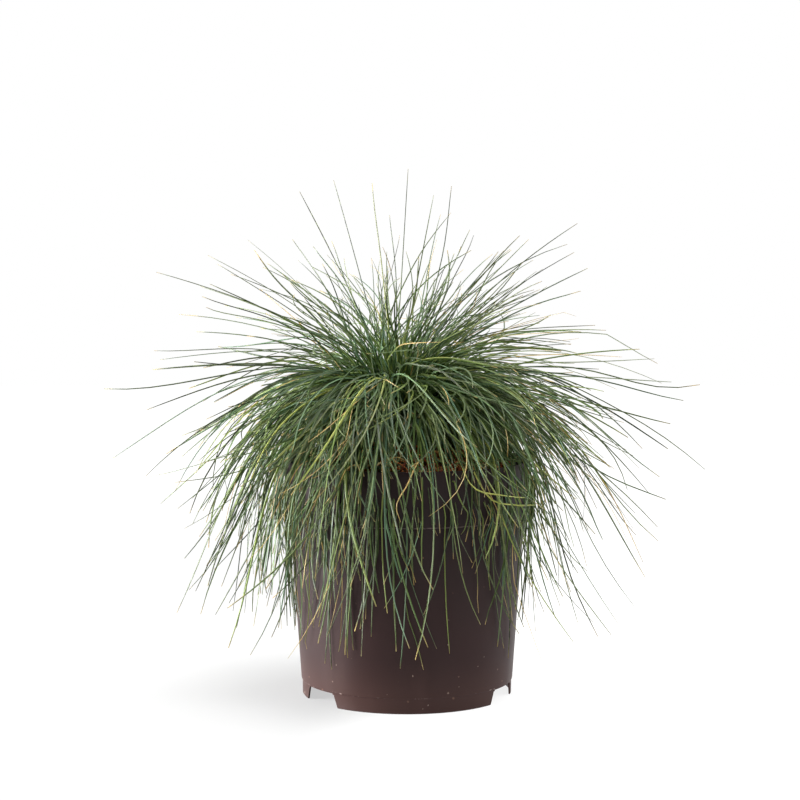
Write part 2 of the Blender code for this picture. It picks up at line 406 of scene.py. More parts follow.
def sheath_material():
    s = Shader("leaf_sheath")
    tone, along = s.attribute("tone"), s.attribute("along")
    streaks = s.noise(1.0, 3.0, s.stretched((420.0, 420.0, 60.0)))
    low = s.ramp(tone, (
        (0.0, (0.085, 0.035, 0.016)),
        (0.4, (0.260, 0.150, 0.065)),
        (0.8, (0.420, 0.330, 0.170)),
    ))
    high = s.ramp(tone, (
        (0.0, (0.120, 0.130, 0.045)),
        (0.5, (0.105, 0.175, 0.055)),
        (1.0, (0.240, 0.270, 0.100)),
    ))
    colour = s.mix(s.spread(along, 0.25, 0.75), low, high)
    colour = s.mix(s.spread(streaks, 0.35, 0.65, 0.0, 0.55), colour, (0.040, 0.030, 0.014))
    s.bump(streaks, 0.6, 0.0003)
    return s.finish(Base_Color=colour, Roughness=0.62)


def litter_material():
    s = Shader("dry_litter")
    tone = s.attribute("tone")
    patches = s.noise(160.0, 3.0)
    shade = s.maths("MULTIPLY_ADD", s.maths("SUBTRACT", patches, 0.5), 0.3, tone)
    colour = s.ramp(shade, (
        (0.00, (0.140, 0.034, 0.016)),
        (0.30, (0.520, 0.120, 0.042)),
        (0.55, (0.720, 0.260, 0.080)),
        (0.80, (0.850, 0.500, 0.180)),
        (1.00, (0.880, 0.670, 0.360)),
    ))
    s.bump(patches, 0.5, 0.0003)
    return s.finish(Base_Color=colour, Roughness=0.85)


def substrate_material():
    s = Shader("peat_and_bark")
    coarse = s.noise(120.0, 6.0)
    fine = s.noise(600.0, 4.0)
    colour = s.ramp(coarse, (
        (0.25, (0.012, 0.007, 0.004)),
        (0.50, (0.045, 0.022, 0.012)),
        (0.75, (0.130, 0.060, 0.030)),
    ))
    s.bump(s.maths("ADD", coarse, fine), 1.0, 0.0015)
    return s.finish(Base_Color=colour, Roughness=s.spread(fine, 0.3, 0.7, 0.8, 1.0))


def pot_material():
    """Brown moulded plastic with faint scuffs, specks of soil, and grit caught on its base line; painted
    floor bounce lightens its foot, painted shade darkens its top, and a painted highlight runs along the
    band's lower edge.
    """
    s = Shader("nursery_pot_plastic")
    place = s.place()
    height = s.node("ShaderNodeSeparateXYZ", {"Vector": place}).outputs["Z"]
    cloud = s.noise(11.0, 5.0)
    streak = s.noise(1.0, 4.0, s.stretched((45.0, 45.0, 9.0)))
    grain = s.noise(1100.0, 2.0)
    warp = s.noise(260.0, 3.0)
    colour = s.mix(s.spread(cloud, 0.3, 0.7), (0.0235, 0.0100, 0.0097), (0.0295, 0.0132, 0.0130))
    low = s.spread(height, 0.0, 0.060, 1.0, 0.10)
    dust = s.maths("MULTIPLY", s.spread(streak, 0.48, 0.80, 0.0, 0.16), low)
    colour = s.mix(dust, colour, (0.130, 0.075, 0.065))
    # Painted light: the wall turns lighter and redder towards the foot, standing in for bounce light from
    # the white floor.
    foot = s.spread(height, 0.004, 0.045, 0.5, 0.0)
    colour = s.mix(foot, colour, (0.070, 0.034, 0.028))
    # Painted shade: the wall darkens towards the top, standing in for the foliage's shadow over the band.
    painted_foliage_shade = s.spread(height, 0.050, 0.150, 0.0, 0.60)
    colour = s.mix(painted_foliage_shade, colour, (0.0120, 0.0082, 0.0080))
    specks = s.node("ShaderNodeTexVoronoi", {"Vector": place, "Scale": 260.0})
    distance = s.maths("MULTIPLY_ADD", s.maths("SUBTRACT", warp, 0.5), 0.9, specks.outputs["Distance"])
    near = s.spread(distance, 0.10, 0.22, 1.0, 0.0)
    chosen = s.node("ShaderNodeSeparateColor", {"Color": specks.outputs["Color"]})
    share = s.spread(height, 0.0, 0.05, 0.20, 0.04)
    near = s.maths("MULTIPLY", near, s.maths("LESS_THAN", chosen.outputs[0], share))
    speck_colour = s.ramp(chosen.outputs[1], (
        (0.0, (0.018, 0.010, 0.008)),
        (0.5, (0.150, 0.080, 0.055)),
        (1.0, (0.330, 0.250, 0.210)),
    ))
    colour = s.mix(s.maths("MULTIPLY", near, 0.8), colour, speck_colour)
    from_line = s.maths("ABSOLUTE", s.maths("SUBTRACT", height, PLATE_UNDERSIDE_Z + 0.0002))
    line = s.spread(from_line, 0.0003, 0.0008, 1.0, 0.0)
    grit = s.maths("MULTIPLY", line, s.spread(warp, 0.52, 0.62))
    grit = s.maths("MULTIPLY", grit, s.spread(s.noise(55.0, 2.0), 0.42, 0.62, 0.0, 0.75))
    colour = s.mix(grit, colour, (0.330, 0.250, 0.225))
    # Painted highlight: a pale broken line along the band's lower edge, standing in for light caught by
    # that edge.
    from_band = s.maths("ABSOLUTE", s.maths("SUBTRACT", height, BAND_BOTTOM_Z))
    line = s.spread(from_band, 0.0002, 0.0009, 0.55, 0.0)
    edge = s.maths("MULTIPLY", line, s.spread(warp, 0.35, 0.60))
    colour = s.mix(edge, colour, (0.170, 0.125, 0.115))
    rough = s.spread(s.maths("ADD", cloud, streak), 0.7, 1.3, 0.44, 0.56)
    s.bump(s.maths("MULTIPLY_ADD", grit, 4.0, grain), 0.22, 0.0001)
    return s.finish(Base_Color=colour, Roughness=rough, Specular_IOR_Level=0.16)


# -------- meshes from arrays


def add_object(name, data):
    made = bpy.data.objects.new(name, data)
    bpy.context.scene.collection.objects.link(made)
    return made


def mesh_piece(name, points, quads, material, attributes, uv, creased=0):
    """One joined mesh. points is (n, 3), quads is (m, 4), and attributes holds one value a point.
    The edges that run along a strand are creased where creased gives its number of corners."""
    mesh = bpy.data.meshes.new(name)
    mesh.vertices.add(len(points))
    mesh.vertices.foreach_set("co", points.astype(np.float32).ravel())
    mesh.loops.add(quads.size)
    mesh.loops.foreach_set("vertex_index", quads.astype(np.int32).ravel())
    mesh.polygons.add(len(quads))
    mesh.polygons.foreach_set("loop_start", np.arange(0, quads.size, 4, dtype=np.int32))
    mesh.polygons.foreach_set("use_smooth", np.ones(len(quads), bool))
    layer = mesh.uv_layers.new(name="OFBake")
    layer.data.foreach_set("uv", uv.astype(np.float32).ravel())
    mesh.update(calc_edges=True)
    if creased:
        ends = np.empty(2 * len(mesh.edges), np.int32)
        mesh.edges.foreach_get("vertices", ends)
        lengthwise = np.abs(ends[0::2] - ends[1::2]) == creased
        mesh.attributes.new("sharp_edge", "BOOLEAN", "EDGE").data.foreach_set("value", lengthwise)
    for key, values in attributes.items():
        layer = mesh.attributes.new(key, "FLOAT", "POINT")
        layer.data.foreach_set("value", values.astype(np.float32).ravel())
    mesh.validate()
    mesh.materials.append(material)
    piece = add_object(name, mesh)
    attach(piece, ROOT)
    return piece


def unit(vectors):
    return vectors / np.maximum(np.linalg.norm(vectors, axis=-1, keepdims=True), 1e-9)


def around(radius, heading, *z):
    """Places at this radius and heading, and at this height if one is given."""
    return np.stack([radius * np.cos(heading), radius * np.sin(heading), *z], -1)


def level_sides(heading, length):
    """The level way across each strand's heading, repeated for every ring."""
    sides = np.stack([-np.sin(heading), np.cos(heading), np.zeros(len(heading))], -1)
    return np.repeat(sides[:, None, :], length, axis=1)


def strand_meshes(paths, sides, section, rows):
    """Closed tubes along paths (k, n, 3). section (k, n, c, 2) holds each ring's corners, across and
    up. Returns the points, the quads, and a map in which each strand has a strip, in rows."""
    count, length, corners = section.shape[:3]
    ahead = unit(np.gradient(paths, axis=1))
    sideways = unit(sides - ahead * (sides * ahead).sum(-1, keepdims=True))
    upward = np.cross(sideways, ahead)
    offsets = (
        section[..., 0:1] * sideways[:, :, None, :] + section[..., 1:2] * upward[:, :, None, :]
    )
    points = (paths[:, :, None, :] + offsets).reshape(-1, 3)
    index = np.arange(count * length * corners).reshape(count, length, corners)
    after = np.roll(index, -1, axis=2)
    walls = np.stack([index[:, :-1], after[:, :-1], after[:, 1:], index[:, 1:]], -1)
    start = index[:, 0, ::-1][:, :4]
    end = index[:, -1, :4]
    quads = np.concatenate([walls.reshape(-1, 4), start.reshape(-1, 4), end.reshape(-1, 4)])
    columns = math.ceil(count / rows)
    strand = np.arange(count)
    left = (strand % columns) / columns
    low = (strand // columns) / rows
    width = 0.92 / columns
    tall = 0.98 / rows
    around = np.arange(corners + 1) / corners * width
    steps = np.linspace(0.0, tall * 0.98, length)
    u = left[:, None, None] + around[None, None, :]
    v = low[:, None, None] + steps[None, :, None]
    u = np.broadcast_to(u, (count, length, corners + 1))
    v = np.broadcast_to(v, (count, length, corners + 1))
    grid = np.stack([u, v], -1)
    wall_uv = np.stack([grid[:, :-1, :-1], grid[:, :-1, 1:], grid[:, 1:, 1:], grid[:, 1:, :-1]], -2)
    cap = np.array([[0, 0], [1, 0], [1, 1], [0, 1]])
    cap_size = np.array([width / 2, tall * 0.018])
    first = np.stack([left, low + tall * 0.982], -1)[:, None, :] + cap * cap_size
    second = first + np.array([width / 2, 0.0])
    uv = np.concatenate([wall_uv.reshape(-1, 2), first.reshape(-1, 2), second.reshape(-1, 2)])
    return points, quads, uv


def by_point(values, length, corners):
    """A value for each strand, or for each ring of each strand, repeated for every point."""
    values = np.asarray(values, float)
    if values.ndim == 1:
        values = np.repeat(values[:, None], length, axis=1)
    return np.repeat(values[:, :, None], corners, axis=2)


# -------- leaf blades


def drop(launch, distance, stiffness, sag):
    full = FULL_DROP * np.maximum(np.cos(launch), 0.0) ** LOW_LAUNCH_POWER * sag
    reach = DROP_DISTANCE * (1 + np.sin(launch)) * stiffness
    return full * (1 - np.exp(-((np.maximum(distance, 0.0) / reach) ** DROP_POWER)))


def directions(elevation, heading):
    flat = np.cos(elevation)
    return np.stack([flat * np.cos(heading), flat * np.sin(heading), np.sin(elevation)], -1)


def wall_radius(z):
    top = BAND_BOTTOM_RADIUS - BAND_STEP
    share = np.clip((z - PLATE_UNDERSIDE_Z) / (BAND_BOTTOM_Z - PLATE_UNDERSIDE_Z), 0.0, 1.0)
    body = BASE_RADIUS + (top - BASE_RADIUS) * share
    return np.where(z > BAND_BOTTOM_Z - 0.001, RIM_RADIUS, body)


def keep_off_pot(paths, clearance):
    """Lifts blades over the rim, and holds hanging ones off the wall and the floor."""
    flat = np.linalg.norm(paths[..., :2], axis=-1)
    near_rim = (flat > CROWN_EDGE) & (flat < RIM_RADIUS + 0.004) & (paths[..., 2] > RIM_Z - 0.030)
    share = np.clip((flat - CROWN_EDGE) / SOIL_SLOPE, 0, 1)
    least = SOIL_Z + OVER_SOIL + (RIM_Z + OFF_POT - SOIL_Z - OVER_SOIL) * share + clearance
    paths[..., 2] = np.where(near_rim, np.maximum(paths[..., 2], least), paths[..., 2])
    lowest = paths[..., 2].min(axis=1, keepdims=True)
    free = RIM_Z - LOWEST_TIP - LOW_TIPS_APART * clearance
    hang = np.minimum(free / np.maximum(RIM_Z - lowest, 1e-6), 1.0)
    below = paths[..., 2] < RIM_Z
    paths[..., 2] = np.where(below, RIM_Z - (RIM_Z - paths[..., 2]) * hang, paths[..., 2])
    least = wall_radius(paths[..., 2]) + OFF_POT + clearance
    push = (paths[..., 2] < RIM_Z) & (flat < least) & ((flat > 0.06) | (paths[..., 2] < SOIL_Z))
    factor = np.where(push, least / np.maximum(flat, 1e-6), 1.0)
    paths[..., :2] *= factor[..., None]


def near_headings(heading, places, spread):
    """1 at any of the places, falling off to nothing within about twice the spread."""
    return sum(math.exp(-((math.remainder(heading - at, math.tau) / spread) ** 2)) for at in places)


def hermite(t, first, leave, last, arrive):
    """The smooth curve from first to last that leaves and arrives with the given slopes."""
    return (
        (2 * t**3 - 3 * t**2 + 1) * first
        + (t**3 - 2 * t**2 + t) * leave
        + (3 * t**2 - 2 * t**3) * last
        + (t**3 - t**2) * arrive
    )


def ripple(chance, share, loose, size):
    """A gentle wave along each blade, with its own height, pace and start."""
    count = len(loose)
    return loose * chance.normal(0, size, (count, 1)) * np.sin(
        share * chance.uniform(3, 7, (count, 1)) + chance.uniform(0, 6.3, (count, 1))
    )


def blade_ways(chance, kind, launch, heading, count):
    """Each blade's elevation and azimuth: the tuft's, with its tiller's and its own scatter."""
    tillers = math.ceil(count / BLADES_PER_TILLER)
    tiller = np.arange(count) % tillers
    tilt, turn = math.radians(kind["tilt"]), math.radians(kind["turn"])
    up = chance.normal(0, tilt, tillers)[tiller] + chance.normal(0, OWN_WAY * tilt, count)
    across = chance.normal(0, turn, tillers)[tiller] + chance.normal(0, OWN_WAY * turn, count)
    stray = chance.random(count) < STRAY_SHARE
    up = np.where(stray, up * STRAY_FACTOR, up) + math.radians(kind["rise"])
    across = np.where(stray, across * STRAY_FACTOR, across)
    centre = directions(np.array([launch]), np.array([heading]))[0]
    east = np.array([-math.sin(heading), math.cos(heading), 0.0])
    north = np.cross(centre, east)
    aim = unit(centre + np.tan(across)[:, None] * east + np.tan(up)[:, None] * north)
    return np.arcsin(np.clip(aim[:, 2], -1, 1)), np.arctan2(aim[:, 1], aim[:, 0])


def blade_reaches(chance, kind, launch, heading, reach, at_front, at_flank, count):
    """How far each blade reaches from the fan's centre."""
    long_side = LONG_SIDE_EXTRA * math.cos(heading - LONG_SIDE_HEADING) * math.cos(launch) ** 2
    usual = kind["usual"] + long_side - FRONT_SHORTER * at_front
    length = chance.normal(usual, LENGTH_SCATTER, count)
    short = chance.random(count) < kind["short"] + FLANK_SHORT_SHARE * at_flank
    length = np.where(short, chance.uniform(*SHORT_LENGTHS, count), length)
    longest = (LONGEST_LOW if launch < LOW_LAUNCH else LONGEST_HIGH) - FRONT_SHORTER * at_front
    long = chance.random(count) < (LONG_SHARE_LOW if launch < LOW_LAUNCH else LONG_SHARE_HIGH)
    length = np.where(long, chance.uniform(longest - LONG_SPAN, longest, count), length)
    return np.clip(reach * length, LEAST_REACH, reach * (LONGEST_LOW - FRONT_SHORTER * at_front))


def rising_part(chance, fan, elevation, azimuth):
    """From each blade's foot in the crown up to where it starts to fan out."""
    count = len(fan)
    radius = (0.006 + 0.028 * np.cos(elevation)) * np.sqrt(chance.uniform(0.45, 1.0, count))
    heading = azimuth + chance.normal(0, 0.35, count)
    foot = around(radius, heading, SOIL_Z + chance.uniform(0.004, 0.016, count))
    gap = np.linalg.norm(fan[:, 0] - foot, axis=-1, keepdims=True)
    leave = unit(around(0.18, azimuth, np.ones(count))) * gap * 1.25
    arrive = unit(fan[:, 1] - fan[:, 0]) * gap * 0.9
    t = (np.arange(RISING_POINTS) / RISING_POINTS)[None, :, None]
    return hermite(t, foot[:, None], leave[:, None], fan[:, :1], arrive[:, None])


def blade_paths(chance, kind, launch, heading, swing, reach, long_blades):
    """Each blade rises out of the crown and then follows the tuft's arch, with its own scatter."""
    at_front = near_headings(heading, (FRONT_HEADING,), FRONT_SPREAD)
    at_flank = near_headings(heading, FLANK_HEADINGS, FLANK_SPREAD) if launch < FLANK_LAUNCH else 0.0
    thinned = (1 - kind["thin"] * at_front) * (1 + FLANK_EXTRA * at_flank)
    count = round(kind["blades"] * thinned * (1 + kind["right"] * math.cos(heading)))
    elevation, azimuth = blade_ways(chance, kind, launch, heading, count)
    far = blade_reaches(chance, kind, launch, heading, reach, at_front, at_flank, count)
    stiffness = np.clip(chance.normal(0.82, 0.15, count), 0.5, 1.3)[:, None]
    stiff = chance.random(count) < STIFF_SHARE
    sag = np.where(stiff, chance.uniform(0.25, 0.7, count), chance.normal(1.0, 0.14, count))
    sag = kind["limp"] * np.clip(sag, 0.2, 1.25)[:, None]
    loose = np.where(np.arange(count) < len(long_blades), LONG_BLADE_LOOSENESS, 1.0)[:, None]
    for i, (turned_to, launched_at, long_reach, share_of_arch) in enumerate(long_blades):
        azimuth[i], elevation[i] = math.radians(turned_to), math.radians(launched_at)
        far[i], sag[i], stiffness[i] = long_reach, share_of_arch, 1.0
    share = np.linspace(0, 1, FANNING_POINTS)
    radius = FAN_START + (far[:, None] - FAN_START) * share
    fall = drop(elevation[:, None], radius - CROWN_RADIUS, stiffness, sag)
    swing = loose * (swing + chance.normal(0, TIP_TURN, (count, 1)))
    turned = azimuth[:, None] + swing * share**2 + ripple(chance, share, loose, WAVE) * share
    nod = ripple(chance, share, loose, NOD)
    bowed = np.maximum(elevation[:, None] - fall + nod * share, STEEPEST)
    fan = FAN_CENTRE + radius[..., None] * directions(bowed, turned)
    scatter = loose[..., None] * chance.normal(0, FAN_SCATTER, (count, 1, 3))
    shift = FAN_LEAN + scatter * np.array([1.0, 1.0, 0.5])
    fan = fan + shift * (1 - 0.6 * share[:, None])
    paths = np.concatenate([rising_part(chance, fan, elevation, azimuth), fan], axis=1)
    keep_in_box(paths)
    kink(chance, paths, azimuth)
    keep_off_pot(paths, chance.uniform(0.0, MOST_CLEARANCE, (count, 1)))
    return paths, azimuth


def keep_in_box(paths):
    """Draws in a blade that would reach out of the box, towards the fan's centre."""
    spill = np.abs(paths[..., :2]).max(axis=(1, 2)) / WIDEST
    above = (paths[..., 2].max(axis=1) - FAN_CENTRE[2]) / (HIGHEST - FAN_CENTRE[2])
    shrink = 1 / np.maximum(np.maximum(spill, above), 1.0)
    out = paths[:, RISING_POINTS:] - FAN_CENTRE
    share = np.linspace(0, 1, FANNING_POINTS)[None, :, None] ** 0.5
    paths[:, RISING_POINTS:] = FAN_CENTRE + out * (1 + (shrink[:, None, None] - 1) * share)


def kink(chance, paths, azimuth):
    """A few blades are creased, and what is past the crease hangs."""
    count, length = paths.shape[:2]
    for i in np.flatnonzero(chance.random(count) < KINKED_SHARE):
        at = chance.integers(length - 5, length - 1)
        angle = chance.uniform(0.2, 0.55)
        side = np.array([-math.sin(azimuth[i]), math.cos(azimuth[i]), 0.0])
        rest = paths[i, at + 1:] - paths[i, at]
        paths[i, at + 1:] = paths[i, at] + (
            rest * math.cos(angle)
            + np.cross(side, rest) * math.sin(angle)
            + side * (rest @ side)[:, None] * (1 - math.cos(angle))
        )


def blade_section(chance, size, length):
    """The folded leaf: two edges, a keel below and a groove on top. size is (k,), and thin blades
    narrow to a needle while wide ones stay blunt."""
    count = len(size)
    share = np.linspace(0, 1, length)
    stations = (0, 0.2, 0.6, 0.9, 1.0)
    needle = np.interp(share, stations, (0.85, 1.0, 0.84, 0.60, 0.32))
    blunt = np.interp(share, stations, (0.80, 1.0, 0.94, 0.72, 0.38))
    mix = np.clip((size - 0.65) / 0.35, 0, 1)[:, None]
    girth = size[:, None] * (needle + (blunt - needle) * mix)
    width, depth = girth * BLADE_WIDTH / 2, girth * BLADE_DEPTH
    zero = np.zeros_like(width)
    corners = np.stack([
        np.stack([width, 0.30 * depth], -1),
        np.stack([zero, -0.05 * depth], -1),
        np.stack([-width, 0.30 * depth], -1),
        np.stack([zero, -0.70 * depth], -1),
    ], axis=2)
    twist = chance.normal(0, 0.5, (count, 1)) + chance.normal(0, 1.3, (count, 1)) * share
    cos, sin = np.cos(twist)[..., None], np.sin(twist)[..., None]
    x, y = corners[..., 0], corners[..., 1]
    return np.stack([x * cos - y * sin, x * sin + y * cos], -1)


def tuft_course(node):
    """The tuft's launch and heading at its root, how far it turns, and its reach, from its solid."""
    places = np.array([v.co for v in node.data.vertices]) - FAN_CENTRE
    distance = np.linalg.norm(places, axis=1)
    base = places[distance < distance.min() + 0.004].mean(0)
    tip = places[distance > distance.max() - 0.004].mean(0)
    launch = math.asin(base[2] / np.linalg.norm(base))
    heading = math.atan2(base[1], base[0])
    swing = (math.atan2(tip[1], tip[0]) - heading + math.pi) % math.tau - math.pi
    if launch > math.radians(85):
        heading = swing = 0.0
    return launch, heading, swing, distance.max()


def share_out_long_blades(courses):
    """Gives each long blade to the tuft that starts out closest to its way."""
    given = {name: [] for name in courses}
    for blade in LONG_BLADES:
        way = directions(math.radians(blade[1]), math.radians(blade[0]))
        given[max(courses, key=lambda n: way @ directions(*courses[n][:2]))].append(blade)
    return given


def build_tuft(name, kind, material, chance, course, long_blades):
    launch, heading, swing, reach = course
    paths, azimuth = blade_paths(chance, kind, launch, heading, swing, reach, long_blades)
    count = len(paths)
    dry = chance.uniform(-0.04, 0.0, count)
    dry = np.where(chance.random(count) < DRY_TIP_SHARE, chance.uniform(0.0, 0.20, count), dry)
    patch = DRY_PATCH_SHARE * near_headings(heading, DRY_HEADINGS, DRY_SPREAD)
    dry = np.where(chance.random(count) < patch, chance.uniform(0.10, 0.45, count), dry)
    dry = np.where(chance.random(count) < DEAD_SHARE, 1.0, dry)
    size = kind["wide"] * chance.uniform(0.65, 1.1, count) * np.where(dry > 0.06, 0.62, 1.0)
    # Painted shade: low blades on the front-left flank get a darker tone, standing in for the shade
    # there.
    shaded = near_headings(heading, (SHADED_HEADING,), SHADED_SPREAD) * math.cos(launch) ** 4
    tone = (BRIGHTEST_TONE - SHADED_DARKER * shaded) * chance.beta(1.5, 1.7, count)
    tone = np.where(chance.random(count) < LIME_SHARE, chance.uniform(0.80, 0.95, count), tone)
    bluer = BLOOM - LESS_BLOOM * near_headings(heading, GREENER_HEADINGS, GREENER_SPREAD)
    bloom = np.clip(chance.normal(bluer, 0.28, count), 0.0, 0.85)
    # Blades that rise more steeply get more of the darker grey towards the tip.
    darker_tip = np.clip(chance.normal(0.28 + 0.55 * math.sin(launch), 0.30, count), 0.0, 1.0)
    looks = {"tone": tone, "dry": dry, "bloom": bloom, "darker_tip": darker_tip}
    piece = blades_piece(f"{name}_blades", paths, azimuth, size, looks, material, chance)
    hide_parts(name)


def blades_piece(name, paths, azimuth, size, looks, material, chance):
    """One joined mesh of blades, with each blade's looks as attributes of its points."""
    count, length = paths.shape[:2]
    section = blade_section(chance, size, length)
    points, quads, uv = strand_meshes(paths, level_sides(azimuth, length), section, rows=2)
    along = np.broadcast_to(np.linspace(0, 1, length), (count, length))
    attributes = {key: by_point(values, length, 4) for key, values in looks.items()}
    attributes["along"] = by_point(along, length, 4)
    attributes["margin"] = np.broadcast_to(np.array([1.0, 0.0, 1.0, 0.0]), (count, length, 4))
    return mesh_piece(name, points, quads, material, attributes, uv, creased=4)


def smooth_path(places, length):
    """Points evenly spread on a smooth curve through the places."""
    places = np.array(places)
    spread = np.linspace(0, len(places) - 1, length)
    start = np.minimum(spread.astype(int), len(places) - 2)
    t = (spread - start)[:, None]
    slopes = np.gradient(places, axis=0)
    return hermite(t, places[start], slopes[start], places[start + 1], slopes[start + 1])


def build_crossing_blades(material):
    chance = np.random.default_rng([SEED, 4])
    routes = CROSSING_BLADES + DEAD_THREADS
    paths = np.array([smooth_path(route, RISING_POINTS + FANNING_POINTS) for route in routes])
    dead = np.arange(len(routes)) >= len(CROSSING_BLADES)
    azimuth = np.arctan2(paths[:, -1, 1], paths[:, -1, 0])
    looks = {
        "tone": np.where(dead, 0.5, 0.98), "dry": np.where(dead, 1.0, -0.04),
        "bloom": np.zeros(len(routes)), "darker_tip": np.zeros(len(routes)),
    }
    size = np.where(dead, 0.6, 0.95)
    blades_piece("crossing_blades", paths, azimuth, size, looks, material, chance)


def build_tufts(material):
    kinds = {name: TUFT_KINDS.get(name.rsplit("_", 1)[0]) for name in sorted(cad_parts)}
    courses = {name: tuft_course(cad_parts[name]) for name, kind in kinds.items() if kind}
    long_blades = share_out_long_blades(courses)
    for i, (name, course) in enumerate(courses.items()):
        chance = np.random.default_rng([SEED, 10 + i])
        build_tuft(name, kinds[name], material, chance, course, long_blades[name])


# -------- crown, litter and soil


def round_section(radius, corners):
    """radius is (k, n). The rings run the way that turns their walls outwards."""
    angle = np.arange(corners) / corners * math.tau
    return around(radius[..., None], angle)


def build_crown():
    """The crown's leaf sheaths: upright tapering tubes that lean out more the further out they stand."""
    chance = np.random.default_rng([SEED, 1])
    count, length, corners = SHEATHS, 7, 6
    out = np.sqrt(chance.uniform(0, 1, count))
    heading = chance.uniform(0, math.tau, count)
    foot = around(0.038 * out, heading, np.full(count, SOIL_Z + 0.0005))
    tall = chance.uniform(*SHEATH_LENGTHS, count)
    lean = 0.42 * out + chance.normal(0, 0.10, count)
    share = np.linspace(0, 1, length)[None, :, None]
    way = around(1, heading, np.zeros(count))[:, None, :]
    rise = np.array([0.0, 0.0, 1.0]) * (tall * np.cos(lean))[:, None, None] * share
    paths = foot[:, None, :] + rise + way * (tall * np.sin(lean))[:, None, None] * share**1.6
    flat = np.linalg.norm(paths[..., :2], axis=-1, keepdims=True)
    paths[..., :2] *= np.minimum(1.0, CROWN_BULGE / np.maximum(flat, 1e-6))
    taper = np.interp(share[0, :, 0], (0, 0.7, 1), (1, 0.8, 0.35))
    thick = chance.uniform(0.0011, 0.0020, (count, 1)) * taper
    sides = level_sides(heading, length)
    points, quads, uv = strand_meshes(paths, sides, round_section(thick, corners), rows=2)
    tone = chance.uniform(0, 1, count) * (1 - 0.4 * out)
    attributes = {
        "tone": by_point(tone, length, corners),
        "along": by_point(np.broadcast_to(share[0, :, 0], (count, length)), length, corners),
    }
    material = sheath_material()
    piece = mesh_piece("crown_sheaths", points, quads, material, attributes, uv)
    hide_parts("crown")


def build_litter():
    """Shed sheaths and fibres: thin curling threads that lie loosely on the root ball."""
    chance = np.random.default_rng([SEED, 2])
    count, length, corners = FIBRES, 7, 4
    inner, outer = 0.030, LITTER_HIGH.x - 0.001
    radius = inner + (outer - inner) * chance.random(count) ** 0.9
    heading = chance.uniform(0, math.tau, count)
    middle = around(radius, heading)
    turn = chance.uniform(0, math.tau, count)
    half = chance.uniform(0.005, 0.020, (count, 1, 1))
    share = np.linspace(-1, 1, length)[None, :, None]
    bend = chance.normal(0, 0.45, (count, 1, 1))
    way = around(1, turn)[:, None, :]
    side = np.stack([-np.sin(turn), np.cos(turn)], -1)[:, None, :]
    flat = middle[:, None, :] + half * (way * share + side * bend * share**2)
    distance = np.linalg.norm(flat, axis=-1, keepdims=True)
    flat *= np.minimum(1.0, outer / distance)
    distance = np.linalg.norm(flat, axis=-1)
    heights = (LITTER_HIGH.z + LITTER_LOFT, SOIL_Z + 0.003)
    rest = np.interp(distance, (LITTER_INNER_RADIUS, outer), heights) - SOIL_Z
    pile = chance.uniform(0.05, 1.0, (count, 1))
    springy = np.where(chance.random((count, 1)) < SPRINGY_SHARE, 0.012, 0.0035)
    arch = chance.uniform(-0.0015, 1.0, (count, 1)) * springy * (1 - share[..., 0] ** 2)
    z = SOIL_Z - 0.001 + rest * pile + arch + chance.uniform(0, 0.002, (count, 1))
    tilt = chance.normal(0, 0.0022, (count, 1)) * share[..., 0]
    paths = np.concatenate([flat, np.maximum(z + tilt, SOIL_Z - 0.001)[..., None]], -1)
    taper = np.interp(share[0, :, 0], (-1, 0, 1), (0.6, 1, 0.4))
    thick = chance.uniform(0.00022, 0.00062, (count, 1)) * taper
    sides = np.broadcast_to(np.array([0.0, 0.0, 1.0]), (count, length, 3))
    points, quads, uv = strand_meshes(paths, sides, round_section(thick, corners), rows=3)
    tone = chance.beta(1.6, 1.9, count)
    attributes = {"tone": by_point(tone, length, corners)}
    material = litter_material()
    piece = mesh_piece("leaf_litter_fibres", points, quads, material, attributes, uv)
    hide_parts("leaf_litter")


def build_soil_crumbs(material):
    """Crumbs and bark chips on the root ball's surface, from one jagged ball copied and squashed."""
    chance = np.random.default_rng([SEED, 3])
    ball = bmesh.new()
    bmesh.ops.create_icosphere(ball, subdivisions=1, radius=1.0)
    shape = np.array([v.co for v in ball.verts])
    faces = np.array([[v.index for v in f.verts] for f in ball.faces])
    ball.free()
    count = CRUMBS
    inner, outer = 0.036, RIM_RADIUS - WALL - 0.003
    radius = inner + (outer - inner) * np.sqrt(chance.random(count))
    heading = chance.uniform(0, math.tau, count)
    size = chance.uniform(0.0007, 0.0024, (count, 1, 1)) * chance.uniform(0.5, 1.3, (count, 1, 3))
    jagged = shape[None] * chance.uniform(0.7, 1.2, (count, len(shape), 1)) * size
    heights = (SOIL_Z - 0.0004, SOIL_Z - 0.0034)
    surface = np.interp(radius, (SOIL_SLOPES_FROM, SOIL_SLOPES_TO), heights)
    middle = around(radius, heading, surface + 0.0004)
    points = (jagged + middle[:, None, :]).reshape(-1, 3)
    triangles = (faces[None] + np.arange(count)[:, None, None] * len(shape)).reshape(-1, 3)
    mesh = bpy.data.meshes.new("soil_crumbs")
    mesh.from_pydata(points.tolist(), [], triangles.tolist())
    mesh.materials.append(material)
    piece = add_object("soil_crumbs", mesh)
    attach(piece, ROOT)


# -------- pot


